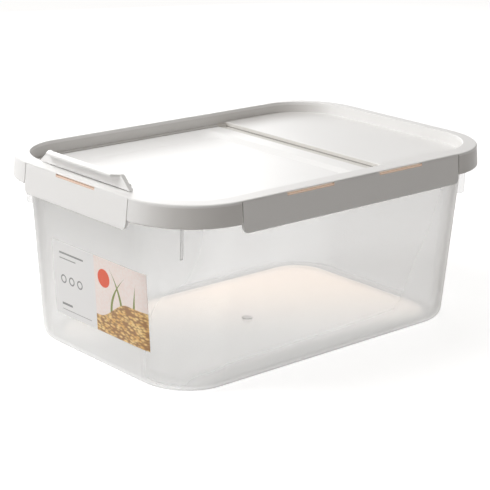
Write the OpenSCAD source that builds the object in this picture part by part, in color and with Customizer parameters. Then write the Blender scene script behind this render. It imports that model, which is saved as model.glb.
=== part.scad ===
// Rice bin with a flip lid: a frosted tub, a lid frame held down by four hinged latches,
// and a flip door with a stepped pull tab. X runs across the bin, Y along it with the
// pull tab at -Y, Z up. The origin is the middle of the face that it stands on.

/* [Lid rim] */
// Width of the lid over its rim
lid_w = 216; // [190:1:250]
// Length of the lid over its rim
lid_l = 319; // [280:1:370]
// Plan radius of the rim's corners
lid_corner_r = 53.2; // [51:0.2:60]
// Height of the rim's outer edge above the table
rim_z = 136.5; // [100:0.5:180]
// Width of the rim's sloping top band
rim_band = 10.7; // [10.4:0.1:11.6]
// Rise of that band from its outer to its inner edge
rim_rise = 0.7; // [0.2:0.1:1.5]
// Thickness of the rim's top
rim_t = 2.2; // [2:0.1:2.6]
// Rounding of the rim's outer edge
rim_edge_r = 1.2; // [0.6:0.1:1.6]
// Thickness of the lid frame's inner walls
lid_wall = 1.8; // [1.6:0.1:2.2]

/* [Corner skirts] */
// Drop of the corner skirts below the rim's edge
skirt_drop = 15.6; // [12:0.2:18]
// Outward draft of the skirts and of the latches, in degrees
skirt_draft = 5.5; // [3:0.5:7]
// Thickness of the skirts
skirt_wall = 2.2; // [1.8:0.1:2.4]

/* [Deck and door well] */
// Drop of the rear deck below the rim's inner edge
deck_drop = 8.5; // [7:0.1:10]
// Length of the rear deck
deck_l = 90.2; // [70:0.2:120]
// Thickness of the deck and of the shoulder round the door
plate_t = 2; // [1.6:0.1:2.4]
// Step from the deck down to the door's top
door_step = 2.2; // [1.8:0.1:3]
// Height of the shoulder round the door above the door's top
shoulder_rise = 0.8; // [0.4:0.1:1.4]
// Depth of the strip between the deck and the hinge trough, below the deck
strip_drop = 3.5; // [3:0.1:4]
// Width of that strip
strip_w = 7.3; // [6:0.1:9]
// Width of the sealing lip round the pouring mouth
lip_w = 1.6; // [1.4:0.1:2.4]
// Distance from the well's wall to the sealing lip
ledge_w = 6.4; // [6:0.1:8]

/* [Flip door] */
// Gap round the door
door_gap = 0.6; // [0.5:0.1:1]
// Thickness of the door's panel and edge
door_t = 1.8; // [1.6:0.1:2]
// Height of the door's edge
door_edge_h = 6.6; // [6.4:0.1:7.2]
// Depth of the dished panel
dish_depth = 2.5; // [1:0.1:2.6]
// Width of the dish's slope along the sides
dish_side_slope = 16.5; // [10:0.5:22]
// Width of the dish's slope at the hinge and at the front
dish_end_slope = 5; // [4:0.5:10]
// Width of the flat border between the dish and the hinge
dish_rear_border = 13; // [1:0.5:20]
// Plan radius of the dish floor's corners
dish_corner_r = 10; // [6:0.5:16]
// Width of the pull tab at the rim
tab_w = 101; // [92:1:101]
// Width of the pull tab's foot, inside the rim
tab_foot_w = 82; // [60:1:90]
// Width of the pull tab along its top
tab_top_w = 81; // [60:1:90]
// Height of the pull tab above the door
tab_h = 20.7; // [18:0.1:24]
// How far the pull tab stands out over the rim
tab_lap = 3.5; // [1:0.1:4]
// Depth of the lip along the tab's top
tab_lip_d = 5.2; // [3:0.1:6]
// Width of the lip's front edge
tab_lip_w = 72; // [50:1:80]
// Thickness of the pull tab
tab_t = 1.8; // [1.6:0.1:2.2]
// Depth of the returns that stiffen the tab's sloping ends
tab_end_d = 3; // [2.4:0.1:3.6]
// Radius of the door's hinge pins
pin_r = 1.8; // [1.5:0.1:2.2]
// Radial clearance of a pin in its socket
pin_clear = 0.1; // [0.05:0.01:0.1]

/* [Latches] */
// Length of the two side latches
long_latch_l = 210; // [180:1:211]
// Length of the front and rear latches
short_latch_l = 114.4; // [90:0.2:115]
// Drop of a latch below the rim's edge
latch_drop = 22.2; // [20:0.2:25]
// Thickness of a latch
latch_t = 2.2; // [1.8:0.1:2.4]
// Gap between a latch's end and the skirt beside it
latch_end_gap = 0.8; // [0.5:0.1:1.5]
// Radius of a latch's lower corners
latch_corner_r = 5; // [2:0.5:7]
// Length of the windows along the hinge lines
window_l = 43.5; // [30:0.5:50]
// Height that a window is cut down into its latch
window_h = 1; // [0.6:0.1:3]
// Thickness of the thin web that closes a window's back
window_web_t = 0.8; // [0.6:0.1:1.2]
// Distance between the middles of a side latch's two windows
window_pitch = 88; // [80:1:100]
// Thickness of the hinge film along a latch's top edge
film_t = 0.4; // [0.3:0.05:0.5]
// Height of the hinge line's groove between rim and latch
film_h = 0.7; // [0.5:0.1:0.9]
// Length of each of a side latch's two claws
long_claw_l = 60; // [40:1:70]
// Length of the claw on the front and on the rear latch
short_claw_l = 70; // [40:1:90]
// Height of a claw's blunt tip
claw_tip_h = 1.1; // [0.8:0.1:1.6]
// Number of stiffening gussets under each claw
claw_gussets = 4; // [2:1:6]

/* [Tub] */
// Inset of the tub's wall from the rim's edge, at the tub's flange
tub_inset = 8.8; // [8.6:0.1:9.4]
// Thickness of the tub's wall
tub_wall = 2; // [1.6:0.1:2.2]
// Thickness of the tub's floor
tub_floor = 2.5; // [2:0.1:4]
// Draft of the tub's walls, in degrees
tub_draft = 4.07; // [2:0.1:6]
// Plan radius of the tub's corners at the flange
tub_corner_r = 48.5; // [46:0.5:56]
// Radius of the edge between the walls and the floor
tub_foot_r = 7; // [4:0.5:10]
// Inset of the tub's flange from the rim's edge
flange_inset = 4; // [3.6:0.1:4.6]
// Thickness of the flange
flange_t = 2; // [1.6:0.1:2.6]
// Thickness of the upright lip on the flange
tub_lip_t = 2; // [1.6:0.1:2.4]
// Depth of the recess under the floor
base_recess = 0.8; // [0.4:0.1:1]
// Radius of the moulding gate's mark on the floor
gate_r = 3.6; // [2:0.2:6]
// Drop of the corner fins below the flange
fin_drop = 26.3; // [15:0.1:40]
// Thickness of the corner fins
fin_t = 1.5; // [1:0.1:2.5]
// Inset of a fin's outer edge from the rim's corner
fin_inset = 7; // [6:0.1:8]

/* [Seals] */
// Height of the lid's seal, between the tub's lip and the rim
seal_h = 2.8; // [2:0.1:3.4]
// Width of the lid's seal
seal_w = 3.2; // [2.4:0.1:3.6]
// Width of the door's seal
door_seal_w = 2.6; // [2.2:0.1:3]
// Thickness of the ribs that grip the door's seal
grip_rib_t = 1; // [0.8:0.1:1.2]

/* [Label] */
// Width of the label on the front
label_w = 104.5; // [60:0.5:105]
// Height of the label
label_h = 55; // [30:0.5:70]
// Height of the label's lower edge above the table
label_z = 27.5; // [15:0.5:40]
// Sideways shift of the label's middle
label_shift = 8.7; // [-8:0.1:9]
// Thickness of the label
label_t = 0.25; // [0.1:0.05:0.4]

/* [Clearances] */
// Gap between pieces that seat on each other
seat_gap = 0.3; // [0.2:0.05:0.4]
// Gap between the lid's inner wall and the tub's lip
lip_gap = 0.5; // [0.3:0.05:0.7]
// Gap between the door well and the tub's inner wall
well_gap = 0.4; // [0.3:0.05:0.6]
// Gap between a hinge film's rounded edge and the rim
film_gap = 0.15; // [0.1:0.01:0.2]
// Gap between the door's hinge end and the trough's rear wall
swing_gap = 2.3; // [2:0.1:3]
// Gap between the rim and the pull tab above it
tab_gap = 0.5; // [0.5:0.1:1.2]

/* [Hidden] */
$fn = 64;
cut = 1; // how far a cutting shape runs past what it cuts
wide = 40; // depth of a shape that crosses a latch and its gap
sheet = 0.01; // thickness of the two sheets that the dish's slopes join

// Heights, from the rim down
rim_in_z = rim_z + rim_rise;
rim_under_z = rim_z - rim_t;
deck_z = rim_in_z - deck_drop;
door_z = deck_z - door_step;
shoulder_z = door_z + shoulder_rise;
flange_z = shoulder_z - plate_t;
flange_under_z = flange_z - flange_t;
fin_top_z = flange_z - 0.5; // inside the flange
gate_depth = 0.5;
base_ring_r = 16; // plan radius of the recess under the floor, round the corner axes
tub_lip_z = rim_under_z - seal_h;
strip_z = deck_z - strip_drop;
door_under_z = door_z - dish_depth - door_t;
door_edge_z = door_z - door_edge_h;
ledge_z = door_edge_z - seat_gap;
lip_z = ledge_z + 2 * seat_gap;
pin_drop = 0.1; // from the door panel's underside down to the pins
hinge_z = door_z - door_t - pin_r - pin_drop;
trough_step = 0.4; // from the ledge's underside down to the trough's floor
trough_z = ledge_z - lid_wall - trough_step;
trough_under_z = trough_z - lid_wall;

// The rim's corner axes; the rim, skirts, seal and the tub's lip turn round them
rim_half_w = lid_w / 2;
rim_half_l = lid_l / 2;
inner_wall_lean = 0.3;
inner_wall_out = rim_band - lid_wall;

// Inset of the tub's inner wall and of the door well from the rim's edge
function tub_inset_at(z) = tub_inset + (flange_under_z - z) * tan(tub_draft);
tub_skin = tub_wall / cos(tub_draft);
well_out = tub_inset_at(trough_under_z) + tub_skin + well_gap;
well_in = well_out + lid_wall;
door_in = well_in + door_gap;
lip_out = well_in + ledge_w;
lip_in = lip_out + lip_w;
tub_axis_w = rim_half_w - tub_inset - tub_corner_r;
tub_axis_l = rim_half_l - tub_inset - tub_corner_r;

// Half width of what spans the well, to the middle of its side walls
well_half_w = rim_half_w - well_in + 0.5 * lid_wall;

// Places along Y, and the door's hinge
deck_front_y = rim_half_l - rim_band - deck_l;
trough_rear_y = deck_front_y - strip_w;
door_hinge_back = 3;
hinge_y = trough_rear_y - swing_gap - door_hinge_back;
door_rear_y = hinge_y + door_hinge_back;
swing_spare = 0.2; // room in front of the hinge, beyond the room behind it
swing_r = door_hinge_back + swing_gap + swing_spare;
bar_rear_y = hinge_y - swing_r;
bar_front_y = bar_rear_y - lid_wall;
lip_bar_gap = 1.3; // from the trough's front edge to the sealing lip
lip_rear_y = bar_rear_y - lip_bar_gap;
lip_corner_r = 8; // plan radius of the sealing lip's rear corners
boss_r = pin_r + 1;
boss_l = 5;
dish_edge = 0.9; // flat edge that the door keeps outside the dish
dish_corner_step = 6; // from the corner radius of the dish's floor to that of its edge

// Latches: the hinge line runs along the rim's edge
film_top_z = rim_z - 0.6;
latch_top_z = film_top_z - film_h;
latch_bottom_z = rim_z - latch_drop;
latch_lean = tan(skirt_draft);
skirt_z = rim_z - skirt_drop;
skirt_bevel = 1;
film_inset = 0.1;
film_seat_w = 0.8; // flat width that rim and latch keep above and below the film
mitre = 1.4;
claw_z = flange_under_z - seat_gap;
claw_reach = flange_inset + 2.7;
claw_root_h = 2.6; // height of a claw at its latch
claw_edge_r = 0.3;
gusset_h = 5.7; // height of a gusset at its latch
gusset_t = 1.2;
window_corner_r = 0.5;
film_root = 0.5; // how far a film runs down inside its latch

// ---------------------------------------------------------------- shared forms

function unit(v) = v / norm(v);
function bend(p, a, b) = acos(unit(a - p) * unit(b - p)) / 2;
function along(p, a, b, r) = p + unit(a - p) * r / tan(bend(p, a, b));
function centre(p, a, b, r) = p + unit(unit(a - p) + unit(b - p)) * r / sin(bend(p, a, b));

// A section whose outward corners are rounded by the radii in rs, tangent to both sides
module section(pts, rs) {
    n = len(pts);
    polygon([for (i = [0 : n - 1]) let (p = pts[i], a = pts[(i + n - 1) % n], b = pts[(i + 1) % n])
        each (rs[i] > 0 ? [along(p, a, b, rs[i]), along(p, b, a, rs[i])] : [p])]);
    for (i = [0 : n - 1]) {
        if (rs[i] > 0) {
            translate(centre(pts[i], pts[(i + n - 1) % n], pts[(i + 1) % n], rs[i])) circle(rs[i]);
        }
    }
}

// Copies its children into both halves across X and Y
module four_ways() {
    for (mx = [0, 1], my = [0, 1]) {
        mirror([mx, 0, 0]) mirror([0, my, 0]) children();
    }
}

// Sweeps a section round a rounded rectangle. The section's x is the distance from the
// corner axes, which stand at (axis_w, axis_l), and its y is the height.
module sweep(axis_w, axis_l) {
    four_ways() translate([axis_w, axis_l, 0]) rotate_extrude(angle = 90) children();
    for (m = [0, 1]) {
        mirror([m, 0, 0]) translate([axis_w, axis_l, 0]) rotate([90, 0, 0])
            linear_extrude(2 * axis_l) children();
        mirror([0, m, 0]) translate([-axis_w, axis_l, 0]) rotate([90, 0, 90])
            linear_extrude(2 * axis_w) children();
    }
}

// An outline with rounded front and rear corners, between two places along Y
module outline(half_w, front_y, rear_y, front_r, rear_r) {
    translate([-half_w, front_y + front_r]) square([2 * half_w, rear_y - rear_r - front_y - front_r]);
    translate([-half_w + front_r, front_y]) square([2 * (half_w - front_r), 2 * front_r]);
    translate([-half_w + rear_r, rear_y - 2 * rear_r]) square([2 * (half_w - rear_r), 2 * rear_r]);
    for (s = [-1, 1]) {
        translate([s * (half_w - front_r), front_y + front_r]) circle(front_r);
        translate([s * (half_w - rear_r), rear_y - rear_r]) circle(rear_r);
    }
}

module slab(z0, z1) {
    translate([0, 0, z0]) linear_extrude(z1 - z0) children();
}

// The rim's outline moved in by an inset
module rim_outline(inset) {
    r = lid_corner_r - inset;
    outline(rim_half_w - inset, -rim_half_l + inset, rim_half_l - inset, r, r);
}

// The tub's inner outline moved in to an inset from the rim, cut off square at rear_y
module well_outline(inset, rear_y, rear_r = 1) {
    outline(rim_half_w - inset, -rim_half_l + inset, rear_y, tub_corner_r + tub_inset - inset, rear_r);
}

// A section drawn in (Y, Z), drawn out across X
module across(half_w) {
    translate([-half_w, 0, 0]) rotate([90, 0, 90]) linear_extrude(2 * half_w) children();
}

// ---------------------------------------------------------------- tub

// Wall and floor section, from the corner axis out to a skin inset from the outside
module tub_section(skin, floor_z, top_z, foot_r) {
    foot = tub_corner_r - tan(tub_draft) * (flange_under_z - floor_z) - skin;
    top = tub_corner_r - tan(tub_draft) * (flange_under_z - top_z) - skin;
    section([[0, floor_z], [foot, floor_z], [top, top_z], [0, top_z]], [0, foot_r, 0, 0]);
}

module tub_solid(skin, floor_z, top_z, foot_r) {
    sweep(tub_axis_w, tub_axis_l) tub_section(skin, floor_z, top_z, foot_r);
    translate([-tub_axis_w, -tub_axis_l, floor_z])
        cube([2 * tub_axis_w, 2 * tub_axis_l, top_z - floor_z]);
}

// The fins stand on the corners' diagonals, under the flange
module corner_fins() {
    fin_out = lid_corner_r - fin_inset;
    fin_root = 6; // how far a fin runs in past the wall, where the hollow cuts it off
    fin_corner_r = 2.5;
    fin_in = lid_corner_r - tub_inset_at(flange_under_z - fin_drop) - tub_wall - fin_root;
    fin_z = flange_under_z - fin_drop;
    four_ways() translate([rim_half_w - lid_corner_r, rim_half_l - lid_corner_r, 0]) rotate([90, 0, 45])
        translate([0, 0, -fin_t / 2]) linear_extrude(fin_t)
            section([[fin_in, fin_z], [fin_out, fin_z], [fin_out, fin_top_z], [fin_in, fin_top_z]],
                [0, fin_corner_r, 0, 0]);
}

module tub() {
    lip_in_r = inner_wall_out - lip_gap;
    color([0.9, 0.89, 0.87, 0.75]) difference() {
        union() {
            tub_solid(0, 0, flange_z, tub_foot_r);
            slab(flange_under_z, flange_z) rim_outline(flange_inset);
            slab(flange_under_z, tub_lip_z) rim_outline(lip_in_r - tub_lip_t);
            corner_fins();
        }
        difference() {
            tub_solid(tub_skin, tub_floor, flange_z + cut, tub_foot_r - tub_wall);
            translate([0, 0, tub_floor - cut]) cylinder(h = cut + gate_depth, r = gate_r);
        }
        slab(flange_z, tub_lip_z + cut) rim_outline(lip_in_r);
        slab(-cut, base_recess)
            outline(tub_axis_w + base_ring_r, -tub_axis_l - base_ring_r, tub_axis_l + base_ring_r,
                base_ring_r, base_ring_r);
    }
}

// ---------------------------------------------------------------- lid frame

// Rim band, inner wall and skirt, in the distance from the corner axes and the height
module rim_section() {
    r = lid_corner_r;
    skirt_out = r + skirt_drop * latch_lean;
    section([
        [r, rim_z], [r - rim_band, rim_in_z], [r - rim_band - inner_wall_lean, flange_z],
        [r - inner_wall_out, flange_z], [r - inner_wall_out, rim_under_z], [r - skirt_wall, rim_under_z],
        [skirt_out - skirt_wall, skirt_z], [skirt_out, skirt_z]
    ], [rim_edge_r, 0.7, 0, 0, 0, 0, 0.4, 0.8]);
}

// Deck, strip and hinge trough, in (Y, Z)
module deck_section() {
    rear = rim_half_l - rim_band + 0.5 * lid_wall;
    section([
        [rear, deck_z], [deck_front_y, deck_z], [deck_front_y, strip_z], [trough_rear_y, strip_z],
        [trough_rear_y, strip_z - lid_wall], [deck_front_y + lid_wall, strip_z - lid_wall],
        [deck_front_y + lid_wall, deck_z - plate_t], [rear, deck_z - plate_t]
    ], [0, 1, 0, 0.6, 0, 0, 0, 0]);
}

module trough_section() {
    section([
        [trough_rear_y + lid_wall, strip_z - 0.5], [trough_rear_y + lid_wall, trough_under_z],
        [bar_front_y, trough_under_z], [bar_front_y, ledge_z], [bar_rear_y, ledge_z],
        [bar_rear_y, trough_z], [trough_rear_y, trough_z], [trough_rear_y, strip_z - 0.5]
    ], [0, 0.8, 0.8, 0, 0, 0, 0, 0]);
}

// The gap in the skirt that a latch fills, with the rim's mitred underside, in (X, Z)
module latch_gap_section(half) {
    polygon([
        [half - flange_inset, latch_bottom_z - cut], [half + wide / 2, latch_bottom_z - cut],
        [half + wide / 2, film_top_z], [half - film_seat_w, film_top_z],
        [half - film_seat_w - mitre - cut, film_top_z - mitre - cut], [half - flange_inset, rim_under_z]
    ]);
}

// The same gap seen square to the latch. The skirts' lower corners beside it are bevelled.
module latch_gap_face(latch_l) {
    half_l = latch_l / 2 + latch_end_gap;
    steep = skirt_bevel / 2;
    low_l = half_l + skirt_bevel + steep;
    polygon([
        [-half_l, rim_z], [-half_l, skirt_z + skirt_bevel + steep], [-half_l - steep, skirt_z + skirt_bevel],
        [-low_l, skirt_z - steep], [-low_l, latch_bottom_z - cut],
        [low_l, latch_bottom_z - cut], [low_l, skirt_z - steep],
        [half_l + steep, skirt_z + skirt_bevel], [half_l, skirt_z + skirt_bevel + steep], [half_l, rim_z]
    ]);
}

// The gap for a latch on the +X side of a rim edge at half
module latch_gap(half, latch_l) {
    reach = 2 * latch_l;
    intersection() {
        translate([0, reach / 2, 0]) rotate([90, 0, 0]) linear_extrude(reach) latch_gap_section(half);
        translate([half - wide / 2, 0, 0]) rotate([90, 0, 90]) linear_extrude(wide) latch_gap_face(latch_l);
    }
}

module latch_gaps() {
    for (m = [0, 1]) {
        mirror([m, 0, 0]) latch_gap(rim_half_w, long_latch_l);
        mirror([0, m, 0]) rotate([0, 0, 90]) latch_gap(rim_half_l, short_latch_l);
    }
}

module door_well() {
    wall_rear_y = trough_rear_y + lid_wall;
    // shoulder round the door
    difference() {
        slab(flange_z, shoulder_z) intersection() {
            rim_outline(rim_band - 0.5 * lid_wall);
            translate([-lid_w, -lid_l]) square([2 * lid_w, lid_l + deck_front_y + lid_wall]);
        }
        slab(flange_z - cut, shoulder_z + cut) well_outline(well_in, deck_front_y);
    }
    // walls of the well, and its sides beside the trough
    difference() {
        slab(ledge_z - lid_wall, shoulder_z) well_outline(well_out, wall_rear_y);
        slab(ledge_z - lid_wall - cut, shoulder_z + cut) well_outline(well_in, wall_rear_y + cut);
    }
    for (m = [0, 1]) {
        mirror([m, 0, 0]) translate([rim_half_w - well_in, bar_front_y, trough_under_z])
            cube([lid_wall, wall_rear_y - bar_front_y, ledge_z - trough_under_z]);
        // ends of the strip behind the trough
        mirror([m, 0, 0]) translate([rim_half_w - well_in, trough_rear_y, strip_z - lid_wall])
            cube([lid_wall, deck_front_y + lid_wall - trough_rear_y, shoulder_z - strip_z + lid_wall]);
    }
    // ledge under the door's edge, and the sealing lip
    difference() {
        union() {
            slab(ledge_z - lid_wall, ledge_z) well_outline(well_in - 0.5 * lid_wall, bar_rear_y);
            slab(ledge_z - lid_wall, lip_z) well_outline(lip_out, lip_rear_y, lip_corner_r);
        }
        slab(ledge_z - lid_wall - cut, lip_z + cut)
            well_outline(lip_in, lip_rear_y - lip_w, lip_corner_r - lip_w);
    }
}

module lid_frame() {
    color([0.96, 0.96, 0.95]) difference() {
        union() {
            sweep(rim_half_w - lid_corner_r, rim_half_l - lid_corner_r) rim_section();
            intersection() {
                across(rim_half_w) deck_section();
                slab(flange_z, rim_z) rim_outline(rim_band - 0.5 * lid_wall);
            }
            intersection() {
                across(well_half_w) deck_section();
                slab(0, flange_z) square(2 * rim_half_l, center = true);
            }
            across(well_half_w) trough_section();
            door_well();
        }
        latch_gaps();
        // hinge sockets
        for (m = [0, 1]) {
            mirror([m, 0, 0]) translate([rim_half_w - well_in - cut, hinge_y, hinge_z]) rotate([0, 90, 0])
                cylinder(h = lid_wall + 2 * cut, r = pin_r + pin_clear);
        }
    }
}

module lid_seal() {
    color([0.86, 0.87, 0.86]) difference() {
        slab(tub_lip_z, rim_under_z) rim_outline(inner_wall_out - seal_w);
        slab(tub_lip_z - cut, rim_under_z + cut) rim_outline(inner_wall_out);
    }
}

// ---------------------------------------------------------------- flip door

// The dish's hollow, lowered by drop: its sides slope from a floor outline to an edge outline
module dish(drop) {
    edge_w = rim_half_w - door_in - dish_edge;
    front_y = -rim_half_l + door_in + tab_t + dish_edge;
    rear_y = door_rear_y - dish_edge - dish_rear_border;
    side = dish_side_slope;
    end = dish_end_slope;
    edge_r = dish_corner_r + dish_corner_step;
    hull() {
        slab(door_z - drop - dish_depth, door_z - drop - dish_depth + sheet)
            outline(edge_w - side, front_y + end, rear_y - end, dish_corner_r, dish_corner_r, $fn = 48);
        // the slopes run on above the door, so that they cut its top clean
        slab(door_z - drop + dish_depth, door_z - drop + dish_depth + sheet)
            outline(edge_w + side, front_y - end, rear_y + end, edge_r, edge_r, $fn = 48);
    }
}

// Rings under the door, between two insets from the rim and two heights
module door_ring(inset_out, inset_in, z0, z1) {
    shift_out = lip_out - inset_out;
    shift_in = lip_out - inset_in;
    difference() {
        slab(z0, z1) well_outline(inset_out, lip_rear_y + shift_out, lip_corner_r + shift_out);
        slab(z0 - cut, z1 + cut) well_outline(inset_in, lip_rear_y + shift_in, lip_corner_r + shift_in);
    }
}

door_seal_out = lip_out + (lip_w - door_seal_w) / 2;
door_seal_in = door_seal_out + door_seal_w;

// The tab's outline seen from the front, with its ends moved in by an inset
module tab_front(top_z, step_z, inset, low_r, top_r) {
    past_top = 0.1;
    rotate([90, 0, 0]) translate([0, 0, -lid_l]) linear_extrude(2 * lid_l)
        section([
            [-tab_w / 2 + inset, 0], [tab_w / 2 - inset, 0], [tab_w / 2 - inset, step_z],
            [tab_top_w / 2 - inset, top_z + past_top], [-tab_top_w / 2 + inset, top_z + past_top],
            [-tab_w / 2 + inset, step_z]
        ], [0, 0, low_r, top_r, top_r, low_r]);
}

// The tab rises from the door's front edge, steps out over the rim and ends in a flat lip
module pull_tab() {
    foot_y = -rim_half_l + door_in;
    face_y = -rim_half_l + rim_band - tab_lap;
    lip_y = face_y - tab_lip_d;
    end_y = face_y + tab_end_d;
    step_z = rim_in_z + tab_gap;
    top_z = door_z + tab_h;
    intersection() {
        union() {
            across(tab_w / 2) section([
                [foot_y + tab_t, door_z - door_t], [foot_y + tab_t, step_z + tab_t],
                [face_y + tab_t, step_z + tab_t], [face_y + tab_t, top_z], [lip_y, top_z],
                [lip_y, top_z - tab_t], [face_y, top_z - tab_t], [face_y, step_z],
                [foot_y, step_z], [foot_y, door_z - door_t]
            ], [0, 1, 0, 1.2, 0.6, 0.6, 0, 0.6, 0, 0]);
            // returns along the sloping ends
            difference() {
                across(tab_w / 2) section([
                    [face_y + tab_t / 2, step_z + tab_t / 2], [end_y, step_z + tab_t / 2],
                    [end_y, top_z], [face_y + tab_t / 2, top_z]
                ], [0, 0, 1.2, 0]);
                tab_front(top_z, step_z, tab_t, 0, 0);
            }
        }
        tab_front(top_z, step_z, 0, 1, 1.5);
        // seen from above: the lip narrows to its front edge, and the step narrows to the foot
        slab(0, top_z + cut) polygon([
            [tab_foot_w / 2, 0], [tab_foot_w / 2, foot_y], [tab_w / 2, end_y], [tab_w / 2, face_y],
            [tab_top_w / 2, face_y], [tab_lip_w / 2, lip_y], [-tab_lip_w / 2, lip_y],
            [-tab_top_w / 2, face_y], [-tab_w / 2, face_y], [-tab_w / 2, end_y],
            [-tab_foot_w / 2, foot_y], [-tab_foot_w / 2, 0]
        ]);
    }
}

module flip_door() {
    color([0.97, 0.97, 0.96]) union() {
        difference() {
            union() {
                difference() {
                    slab(door_edge_z, door_z) well_outline(door_in, door_rear_y);
                    difference() {
                        slab(door_edge_z - cut, door_z - door_t)
                            well_outline(door_in + door_t, door_rear_y - door_t);
                        dish(door_t);
                    }
                }
                // grooved rib for the seal
                difference() {
                    door_ring(door_seal_out - grip_rib_t, door_seal_in + grip_rib_t, lip_z + 2 * seat_gap,
                        door_z - door_t);
                    door_ring(door_seal_out, door_seal_in, lip_z, door_under_z);
                }
                for (m = [0, 1]) {
                    mirror([m, 0, 0]) translate([rim_half_w - door_in - boss_l, hinge_y, hinge_z])
                        rotate([0, 90, 0]) cylinder(h = boss_l, r = boss_r);
                }
            }
            dish(0);
        }
        for (m = [0, 1]) {
            mirror([m, 0, 0]) translate([rim_half_w - door_in - cut, hinge_y, hinge_z]) rotate([0, 90, 0])
                cylinder(h = cut + door_gap + lid_wall - seat_gap, r = pin_r);
        }
        pull_tab();
    }
}

module door_seal() {
    color([0.85, 0.86, 0.85]) door_ring(door_seal_out, door_seal_in, lip_z + seat_gap, door_under_z);
}

// ---------------------------------------------------------------- latches

// A latch's section for a rim edge at half, in (X, Z)
module latch_section(half) {
    bottom_out = half + (latch_top_z - latch_bottom_z) * latch_lean;
    section([
        [half, latch_top_z], [half - film_seat_w, latch_top_z],
        [half - latch_t, latch_top_z - mitre], [bottom_out - latch_t, latch_bottom_z],
        [bottom_out, latch_bottom_z]
    ], [0.4, 0, 0, 0.6, 1]);
}

// The claw that hooks under the tub's flange, and the gussets that back it
module claw(half, claw_l) {
    face = half + (latch_top_z - claw_z) * latch_lean - 0.4 * latch_t;
    translate([0, claw_l / 2, 0]) rotate([90, 0, 0]) linear_extrude(claw_l)
        section([
            [face, claw_z], [half - claw_reach, claw_z], [half - claw_reach, claw_z - claw_tip_h],
            [face, claw_z - claw_root_h]
        ], [0, claw_edge_r, claw_edge_r, 0]);
    for (i = [0 : claw_gussets - 1]) {
        y = (i + 0.5) * claw_l / claw_gussets - claw_l / 2;
        translate([0, y + gusset_t / 2, 0]) rotate([90, 0, 0]) linear_extrude(gusset_t)
            polygon([[face, claw_z - 1], [half - claw_reach + 1, claw_z - 1], [face, claw_z - gusset_h]]);
    }
}

// The latch's face outline, in (Y, Z): square at the hinge, rounded below
module latch_face(latch_l) {
    section([
        [-latch_l / 2, latch_top_z], [-latch_l / 2, latch_bottom_z],
        [latch_l / 2, latch_bottom_z], [latch_l / 2, latch_top_z]
    ], [0, latch_corner_r, latch_corner_r, 0]);
}

// The hollow of a window, cut in from the latch's leaning face down to the web at its back
module window_hollow(half) {
    low = window_h + cut;
    web = half - latch_t + window_web_t;
    intersection() {
        translate([0, window_l / 2, latch_top_z]) rotate([90, 0, 0]) linear_extrude(window_l)
            polygon([
                [web + low * latch_lean, -low], [half + wide / 2, -low], [half + wide / 2, cut],
                [web - cut * latch_lean, cut]
            ]);
        translate([half - wide / 2, -window_l / 2, latch_top_z - window_h]) rotate([90, 0, 90])
            linear_extrude(wide)
                section([[0, 0], [window_l, 0], [window_l, low + cut], [0, low + cut]],
                    [window_corner_r, window_corner_r, 0, 0]);
    }
}

// The thin film along the top edge, rounded where it meets the rim: the latch swings on it
module hinge_film(half, latch_l, windows) {
    film_z = film_top_z - film_gap - film_t / 2;
    difference() {
        translate([half - film_inset - film_t / 2, latch_l / 2, 0]) rotate([90, 0, 0])
            linear_extrude(latch_l) {
                translate([-film_t / 2, latch_top_z - film_root])
                    square([film_t, film_z - latch_top_z + film_root]);
                translate([0, film_z]) circle(film_t / 2);
            }
        for (y = windows) {
            translate([half - wide / 2, y - window_l / 2, latch_top_z - cut])
                cube([wide, window_l, film_h + 2 * cut]);
        }
    }
}

// A latch on the +X side of a rim edge at half
module latch(half, latch_l, windows, claws, claw_l) {
    color([0.94, 0.94, 0.92]) {
        hinge_film(half, latch_l, windows);
        difference() {
            intersection() {
                translate([0, latch_l / 2, 0]) rotate([90, 0, 0]) linear_extrude(latch_l) latch_section(half);
                translate([half - wide / 2, 0, 0]) rotate([90, 0, 90]) linear_extrude(wide)
                    latch_face(latch_l);
            }
            for (y = windows) {
                translate([0, y, 0]) window_hollow(half);
            }
        }
        for (y = claws) {
            translate([0, y, 0]) claw(half, claw_l);
        }
    }
}

long_windows = [-window_pitch / 2, window_pitch / 2];
long_claws = [-long_latch_l / 4, long_latch_l / 4];

module side_latch() {
    latch(rim_half_w, long_latch_l, long_windows, long_claws, long_claw_l);
}

module end_latch() {
    latch(rim_half_l, short_latch_l, [0], [0], short_claw_l);
}

module right_latch() side_latch();
module left_latch() mirror([1, 0, 0]) side_latch();
module front_latch() rotate([0, 0, -90]) end_latch();
module rear_latch() rotate([0, 0, 90]) end_latch();

// ---------------------------------------------------------------- label

// A thin sheet that lies on the tub's front wall and bends with it round the corner
module label() {
    color([0.97, 0.93, 0.9]) intersection() {
        sweep(tub_axis_w, tub_axis_l) difference() {
            tub_section(-label_t, label_z, label_z + label_h, 0);
            tub_section(0, label_z - cut, label_z + label_h + cut, 0);
        }
        translate([label_shift - label_w / 2, -lid_l, 0]) cube([label_w, lid_l, rim_z]);
    }
}

tub();
lid_frame();
lid_seal();
flip_door();
door_seal();
front_latch();
rear_latch();
left_latch();
right_latch();
label();
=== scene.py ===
import bpy
from mathutils import Matrix, Vector

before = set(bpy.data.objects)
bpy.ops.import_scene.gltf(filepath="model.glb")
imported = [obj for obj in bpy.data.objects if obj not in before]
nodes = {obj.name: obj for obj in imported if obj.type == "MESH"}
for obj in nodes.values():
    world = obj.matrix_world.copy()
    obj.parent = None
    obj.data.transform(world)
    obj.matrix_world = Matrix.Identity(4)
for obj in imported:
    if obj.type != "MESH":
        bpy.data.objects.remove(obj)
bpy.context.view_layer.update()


# ---- Tub -------------------------------------------------------------------------------
# The tub is one injection moulding in milky translucent polypropylene. Its wall lets the
# floor and the far walls show through, and it has a very fine spark-eroded texture.

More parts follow.
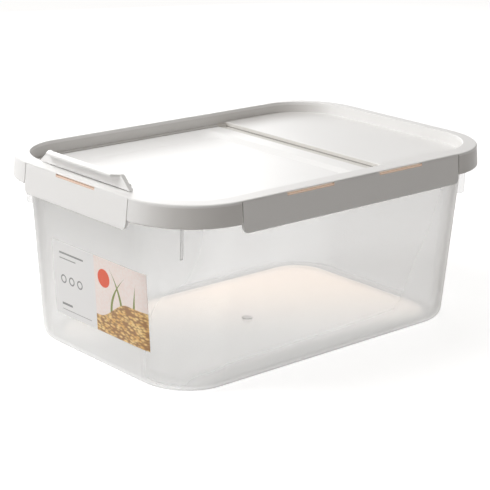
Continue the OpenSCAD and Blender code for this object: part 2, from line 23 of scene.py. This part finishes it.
class Wire:
    """An output of a shader node. Python's operators on it add Math nodes."""

    def __init__(self, socket):
        self.socket = socket
        self.tree = socket.id_data

    def put(self, kind, settings=None, sockets=None, out=0):
        """Adds a node of a kind, with its settings and then the values or links of its sockets."""
        return put(self.tree, kind, settings, sockets, out)

    def maths(self, operation, *others):
        return self.put("ShaderNodeMath", {"operation": operation}, dict(enumerate((self,) + others)))

    def __add__(self, other):
        return self.maths("ADD", other)

    def __radd__(self, other):
        return self + other

    def __sub__(self, other):
        return self.maths("SUBTRACT", other)

    def __rsub__(self, other):
        return (-self) + other

    def __mul__(self, other):
        return self.maths("MULTIPLY", other)

    def __rmul__(self, other):
        return self * other

    def __pow__(self, other):
        return self.maths("POWER", other)

    def __lt__(self, other):
        return self.maths("LESS_THAN", other)

    def __gt__(self, other):
        return self.maths("GREATER_THAN", other)

    def __neg__(self):
        return self.maths("MULTIPLY", -1.0)

    def __abs__(self):
        return self.maths("ABSOLUTE")

    def ramp(self, low, high):
        """0 below low, 1 above high, smooth between."""
        return self.put("ShaderNodeMapRange", {"interpolation_type": "SMOOTHSTEP"},
                        {"Value": self, "From Min": low, "From Max": high})


def put(tree, kind, settings=None, sockets=None, out=0):
    made = tree.nodes.new(kind)
    for name, value in (settings or {}).items():
        setattr(made, name, value)
    for name, value in (sockets or {}).items():
        if isinstance(value, Wire):
            tree.links.new(value.socket, made.inputs[name])
        else:
            made.inputs[name].default_value = value
    return Wire(made.outputs[out])


def finish(name, **fixed):
    """A material with one Principled shader. `fixed` are the values that are the same all over."""
    material = bpy.data.materials.new(name)
    material.use_nodes = True
    shader = material.node_tree.nodes["Principled BSDF"]
    for socket, value in fixed.items():
        shader.inputs[socket.replace("_", " ")].default_value = value
    place = put(material.node_tree, "ShaderNodeTexCoord", out="Object")
    return material, shader, place


def feed(shader, socket, wire):
    shader.id_data.links.new(wire.socket, shader.inputs[socket])


def grey(level):
    return (level, level, level, 1)


def blend_colours(factor, first, second):
    """The first colour where the factor is 0, the second where it is 1."""
    colour_in, other_colour_in, colour_out = 6, 7, 2
    return factor.put("ShaderNodeMix", {"data_type": "RGBA"},
                      {0: factor, colour_in: first, other_colour_in: second}, out=colour_out)


def noise(place, scale, detail=2.0):
    return place.put("ShaderNodeTexNoise", None, {"Vector": place, "Scale": scale, "Detail": detail})


def bump(height, strength, distance):
    return height.put("ShaderNodeBump", None,
                      {"Height": height, "Strength": strength, "Distance": distance})


def axis(place, number):
    """One of the three coordinates of a place, in millimetres."""
    return place.put("ShaderNodeSeparateXYZ", None, {0: place}, out=number) * 1000.0


def distance_from(across, up):
    """The distance from the zero of two coordinates."""
    return (across ** 2.0 + up ** 2.0).maths("SQRT")


def ring(across, up, radius, width):
    """1 on a circle's line, 0 off it, round the zero of two coordinates."""
    return 1.0 - abs(distance_from(across, up) - radius).ramp(width * 0.5, width)


def dress(node_name, material):
    for slot in nodes[node_name].material_slots:
        slot.material = material


frosted, shader, place = finish("frosted_polypropylene", IOR=1.45, Specular_IOR_Level=0.2)
tree = frosted.node_tree
cloud = noise(place, 22.0, 3.0)
side = axis(place, 0)
along = axis(place, 1)
height = axis(place, 2)

# The flat of the floor ends about 13 mm inside the wall, in a rounded rectangle. It has a painted
# glow, which dies away towards the front half of the right wall, and painted warm light at the far
# left.
flat_corner_x = 50.6
flat_corner_y = 102.1
flat_corner_r = 25.2
flat_edge_w = 1.2
fade_w = 17.0
on_floor = height < 3.0
corner_x = (abs(side) - flat_corner_x).maths("MAXIMUM", 0.0)
corner_y = (abs(along) - flat_corner_y).maths("MAXIMUM", 0.0)
glow_fade = side.ramp(0.0, 70.0) * (1.0 - along.ramp(20.0, 115.0)) * fade_w
outside = distance_from(corner_x, corner_y).ramp(flat_corner_r - glow_fade, flat_corner_r + flat_edge_w)
flat = (1.0 - outside) * on_floor
far_left_glow = (along * 0.5 - side * 0.8).ramp(-50.0, 85.0) * flat

# The moulding gate has left a ring in the middle of the floor
gate_r = 3.6
gate_line_w = 0.7
gate = ring(side, along, gate_r, gate_line_w) * on_floor

# Painted shade greys the front wall towards the flange, under the lid, and the foot of the right
# wall, and makes them less clear. The corner fins have a dark edge.
flange_shade = (-along).ramp(100.0, 140.0) * height.ramp(5.0, 115.0)
foot_shade = side.ramp(74.0, 90.0) * (1.0 - height.ramp(2.0, 22.0)) * (1.0 - along.ramp(60.0, 120.0) * 0.6)
fin_reach = 226.2
fin_top = 121.0
in_corner = (abs(side) > 70.0) * (abs(along) > 120.0)
fin_edge = (abs(side) + abs(along) > fin_reach) * in_corner * (height < fin_top)

milk = blend_colours(cloud, (0.90, 0.90, 0.895, 1), (0.94, 0.94, 0.93, 1))
milk = blend_colours(far_left_glow, milk, (0.94, 0.88, 0.83, 1))
milk = blend_colours(flange_shade * 0.6 + foot_shade * 0.8, milk, grey(0.42))
milk = blend_colours(gate + fin_edge * 0.6, milk, grey(0.12))
# Painted glow on the floor, brighter at the back and warm at the far left, and faint low on the walls
near_glow = blend_colours(along.ramp(-110.0, 60.0), (0.31, 0.31, 0.305, 1), (0.52, 0.515, 0.505, 1))
floor_glow = blend_colours(far_left_glow, near_glow, (0.76, 0.65, 0.57, 1))
light = blend_colours(height.ramp(2.0, 15.0), grey(0.12), grey(0.0))
light = blend_colours(flat, light, floor_glow)
light = blend_colours(gate, light, grey(0.0))
feed(shader, "Base Color", milk)
feed(shader, "Roughness", cloud * 0.08 + 0.36)
feed(shader, "Normal", bump(noise(place, 2600.0), 0.12, 0.0002))
feed(shader, "Emission Color", light)
shader.inputs["Emission Strength"].default_value = 1.0

# Most of the light passes straight through the wall, but less at a slant. Part of the rest
# scatters through it.
slant = put(tree, "ShaderNodeLayerWeight", None, {"Blend": 0.5}, out="Facing") ** 2.0
glow = put(tree, "ShaderNodeBsdfTranslucent", None, {"Color": (0.91, 0.91, 0.905, 1)})
clear = put(tree, "ShaderNodeBsdfTransparent", None, {"Color": grey(0.945)})
scattered = 0.72 - flat * 0.4 - slant * 0.7
body = put(tree, "ShaderNodeMixShader", None, {0: scattered, 1: Wire(shader.outputs[0]), 2: glow})
straight = 0.84 - slant * 0.62 - far_left_glow * 0.2 - flange_shade * 0.15 - foot_shade * 0.26
straight = straight - gate * 0.4 - fin_edge * 0.2
skin = put(tree, "ShaderNodeMixShader", None, {0: straight, 1: body, 2: clear})
tree.links.new(skin.socket, tree.nodes["Material Output"].inputs["Surface"])
dress("tub", frosted)


# ---- Lid seal --------------------------------------------------------------------------
# A soft ring of pale silicone stands between the tub's upright lip and the underside of the
# lid's rim, outside the lid's inner wall. It only shows when the lid is taken off.

silicone, shader, place = finish("pale_silicone", IOR=1.41)
cloud = noise(place, 60.0)
feed(shader, "Base Color", blend_colours(cloud, (0.66, 0.67, 0.66, 1), (0.72, 0.73, 0.72, 1)))
feed(shader, "Roughness", cloud * 0.1 + 0.5)
feed(shader, "Normal", bump(noise(place, 1500.0), 0.1, 0.0002))
dress("lid_seal", silicone)


# ---- Lid frame --------------------------------------------------------------------------
# The lid frame is one moulding in white polypropylene with a smooth satin face and faint
# flow marks. Its pockets behind the latches' windows have a painted glow, for the light through the
# thin plastic.

def satin_white(name, darker, paler):
    """A satin white moulding, and its base colour, which wanders between two whites."""
    material, shader, place = finish(name, IOR=1.49, Specular_IOR_Level=0.3)
    cloud = noise(place, 9.0, 3.0)
    feed(shader, "Roughness", cloud * 0.1 + 0.3)
    feed(shader, "Normal", bump(noise(place, 1800.0), 0.05, 0.0002))
    return material, shader, place, blend_colours(cloud, darker, paler)


def paint_glow(shader, where):
    """Paints a warm brown glow on thin plastic, standing in for the light behind it."""
    feed(shader, "Emission Color", blend_colours(where, grey(0.0), (0.21, 0.165, 0.13, 1)))
    shader.inputs["Emission Strength"].default_value = 1.0


def between(value, low, high):
    """1 where a value is between two others, and else 0."""
    return (value > low) * (value < high)


frame_whites = (0.885, 0.883, 0.875, 1), (0.905, 0.903, 0.897, 1)
frame_white, shader, place, plastic = satin_white("white_polypropylene", *frame_whites)
side = abs(axis(place, 0))
back = axis(place, 1)
along = abs(back)
height = axis(place, 2)

# The pockets lie behind the windows, two on each long side and one at each end, and get a painted
# glow
window_half = 21.8
window_pitch_half = 44.0
long_pocket = between(side, 98.0, 107.25) * (abs(along - window_pitch_half) < window_half)
short_pocket = between(along, 150.0, 158.75) * (side < window_half)
pocket_glow = (long_pocket + short_pocket) * between(height, 131.5, 136.0)

# Painted shade darkens the hinge channel, with a darker line in its crease, and the skirts below the
# rim
channel_floor = 124.0
channel_back = 58.8
channel_shade = between(back, 49.5, channel_back) * between(height, channel_floor, 128.2)
crease_shade = between(back, 58.0, channel_back) * between(height, channel_floor, 125.9)
skirt_top = 135.2
skirt_shade = (skirt_top - height).ramp(0.0, 1.0) * side.ramp(62.0, 92.0)
plastic = blend_colours(skirt_shade, plastic, (0.77, 0.76, 0.745, 1))
plastic = blend_colours(channel_shade, plastic, (0.78, 0.765, 0.735, 1))
plastic = blend_colours(crease_shade, plastic, (0.42, 0.41, 0.39, 1))
feed(shader, "Base Color", plastic)
paint_glow(shader, pocket_glow)
dress("lid_frame", frame_white)


# ---- Flip door --------------------------------------------------------------------------
# The door is moulded in white, with a dished panel and the pull tab in one piece; its white is
# painted paler than the frame's, for the brighter light on the door.
# It turns on two pins that snap into the frame.

door_lit_whites = (0.935, 0.935, 0.93, 1), (0.955, 0.955, 0.95, 1)
door_white, shader, _, plastic = satin_white("door_polypropylene", *door_lit_whites)
feed(shader, "Base Color", plastic)
dress("flip_door", door_white)


# ---- Door seal --------------------------------------------------------------------------
# The door's seal is a ring of the same silicone as the lid's. Two ribs under the door hold
# it over the lip round the pouring mouth.

dress("door_seal", silicone)


# ---- Latches ----------------------------------------------------------------------------
# The four latches are moulded in the lid's plastic and swing on thin films. The shallow
# windows along their hinge lines are painted a darker warm brown for the shade in them, and given a
# painted glow for the light through their web.

latch_whites = (0.9, 0.898, 0.89, 1), (0.92, 0.918, 0.912, 1)
latch_white, shader, place, plastic = satin_white("latch_polypropylene", *latch_whites)
side = abs(axis(place, 0))
along = abs(axis(place, 1))
height = axis(place, 2)
window_foot = 133.5
long_window = (side > 100.0) * (abs(along - window_pitch_half) < window_half)
short_window = (along > 150.0) * (side < window_half)
window_shade_glow = (long_window + short_window) * (height > window_foot)
feed(shader, "Base Color", blend_colours(window_shade_glow, plastic, (0.6, 0.47, 0.4, 1)))
paint_glow(shader, window_shade_glow)
for name in ("front_latch", "rear_latch", "left_latch", "right_latch"):
    dress(name, latch_white)


# ---- Label -----------------------------------------------------------------------------
# A printed film label is stuck on the tub's front wall, a white panel beside a pale pink one.
# The print is a plain one: rules and rings, a heap of grain under a disc, and a few leaves.

def stroke(across, up, left, right, middle, width):
    """A straight rule between two ends, at a height."""
    return between(across, left, right) * (abs(up - middle) < width * 0.5)


film, shader, place = finish("printed_film", IOR=1.5, Coat_Weight=0.25, Coat_Roughness=0.25)
across = axis(place, 0)
up = axis(place, 2)
paper = noise(place, 900.0)

# White panel: two rules, three rings, then a short bar over a long thin rule
margin = -36.0
rings_up = 55.0
ring_r = 2.7
ring_line_w = 0.7
ink = stroke(across, up, margin, -8.0, 74.5, 1.3) + stroke(across, up, margin, -17.0, 70.5, 0.7)
ink = ink + stroke(across, up, margin, -24.0, 36.0, 1.6) + stroke(across, up, margin, -2.0, 31.8, 0.4)
for middle in (-32.5, -23.0, -13.5):
    ink = ink + ring(across - middle, up - rings_up, ring_r, ring_line_w)
panel = blend_colours(paper, grey(0.87), grey(0.89))
panel = blend_colours(ink * 0.8, panel, grey(0.10))

# Pink panel: leaves, a disc, and in front of them a heap of grain that rises to the right
pink = blend_colours(noise(place, 500.0).ramp(0.3, 0.7), (0.96, 0.83, 0.78, 1), (0.98, 0.89, 0.85, 1))
leaf_green = (0.23, 0.27, 0.05, 1)
leaf_root = 45.0
for lean, start, top in ((0.10, 22.0, 76.0), (-0.06, 34.0, 79.0), (0.02, 47.0, 74.0)):
    rise = up - leaf_root
    bend = rise * rise * (lean * 0.2) + start
    half_width = (top - up).ramp(0.0, 22.0) * 1.1
    leaf = (abs(across - bend) < half_width) * (up < top)
    pink = blend_colours(leaf, pink, leaf_green)
disc_red = (0.82, 0.10, 0.03, 1)
disc_x = 15.0
disc_up = 68.0
disc_r = 6.4
disc = 1.0 - distance_from(across - disc_x, up - disc_up).ramp(disc_r, disc_r + 0.5)
pink = blend_colours(disc, pink, disc_red)

heap_foot = 40.0
heap_rise = 15.0
heap = (across.ramp(8.0, 40.0) * heap_rise + heap_foot - up).ramp(0.0, 0.8)
turned = place.put("ShaderNodeMapping", None,
                   {"Vector": place, "Rotation": (0.0, 0.6, 0.0), "Scale": (0.42, 0.0, 1.0)})
grain = place.put("ShaderNodeTexVoronoi", {"feature": "F1"}, {"Vector": turned, "Scale": 620.0})
tone = noise(place, 160.0, 3.0).ramp(0.35, 0.65)
gold = blend_colours(tone, (0.80, 0.47, 0.14, 1), (0.95, 0.70, 0.30, 1))
gold = blend_colours(grain.ramp(0.25, 0.75), gold, (0.36, 0.17, 0.05, 1))
pink = blend_colours(heap, pink, gold)

right_of_join = across.ramp(4.4, 4.6)
feed(shader, "Base Color", blend_colours(right_of_join, panel, pink))
feed(shader, "Roughness", paper * 0.1 + 0.38)
feed(shader, "Normal", bump(paper, 0.04, 0.0001))
dress("label", film)


# ---- Table, light and camera -------------------------------------------------------------
# The bin stands on a plain pale table in soft studio light, strongest from above and from
# the front left, and is seen from its front right corner.

def seen_rays(tree):
    """1 where the camera sees this, by itself, in a gloss or through a clear wall, and else 0."""
    seen = put(tree, "ShaderNodeLightPath", out="Is Camera Ray")
    for ray in ("Is Glossy Ray", "Is Transmission Ray"):
        seen = seen + put(tree, "ShaderNodeLightPath", out=ray)
    return seen.maths("MINIMUM", 1.0)


table_size = 12
table_gap = 0.0002
bpy.ops.object.select_all(action="DESELECT")
bpy.ops.mesh.primitive_plane_add(size=table_size, location=(0, 0, -table_gap))
table = bpy.context.object
table.name = "table"
bpy.ops.object.transform_apply(location=True, rotation=True, scale=True)
paint, shader, _ = finish("table_paint", Roughness=0.9, Specular_IOR_Level=0.0, Emission_Strength=1.0)
shader.inputs["Base Color"].default_value = grey(0.6)
feed(shader, "Emission Color", blend_colours(seen_rays(paint.node_tree), grey(0.0), grey(0.74)))
table.data.materials.append(paint)

# The world is white where it is seen. Its light on the bin is dim and a little warm, and
# stronger from the front.
world = bpy.data.worlds.new("studio")
bpy.context.scene.world = world
world.use_nodes = True
tree = world.node_tree
background = tree.nodes["Background"]
seen = seen_rays(tree)
direction = put(tree, "ShaderNodeTexCoord", out="Generated")
backward = put(tree, "ShaderNodeSeparateXYZ", None, {0: direction}, out=1)
feed(background, "Strength", seen + (1.0 - seen) * (backward * -0.12 + 0.292))
feed(background, "Color", blend_colours(seen, (1.0, 0.945, 0.89, 1), grey(1.0)))


def lamp(name, place, aim, width, height, power):
    """A softbox at a place, turned towards a point."""
    light = bpy.data.lights.new(name, "AREA")
    light.shape = "RECTANGLE"
    light.size = width
    light.size_y = height
    light.energy = power
    stand = bpy.data.objects.new(name, light)
    bpy.context.scene.collection.objects.link(stand)
    stand.location = place
    stand.rotation_euler = (Vector(aim) - Vector(place)).to_track_quat("-Z", "Y").to_euler()


lamp("key_softbox", (-0.5, -0.88, 1.3), (0, -0.05, 0.12), 0.8, 0.8, 15.8)
lamp("front_softbox", (-0.5, -1.6, 0.4), (0, -0.16, 0.08), 1.0, 0.6, 0.6)
lamp("left_softbox", (-1.25, 0.45, 0.5), (0, 0, 0.1), 1.2, 0.9, 7.4)

# The camera's place, its turn and its focal length come from the fit to the photograph
image_width = 490
focal_pixels = 1576.88
view = bpy.data.cameras.new("camera")
view.sensor_width = 36
view.lens = view.sensor_width * focal_pixels / image_width
view.clip_start = 0.05
camera = bpy.data.objects.new("camera", view)
bpy.context.scene.collection.objects.link(camera)
right = Vector((0.666728, 0.744896, 0.024559))
upward = Vector((-0.237346, 0.180972, 0.954419))
ahead = Vector((-0.706499, 0.642167, -0.297457))
turn = Matrix((right, upward, -ahead)).transposed().to_4x4()
camera.matrix_world = Matrix.Translation((0.830795, -0.759404, 0.410756)) @ turn
bpy.context.scene.camera = camera
bpy.context.scene.view_settings.view_transform = "Standard"
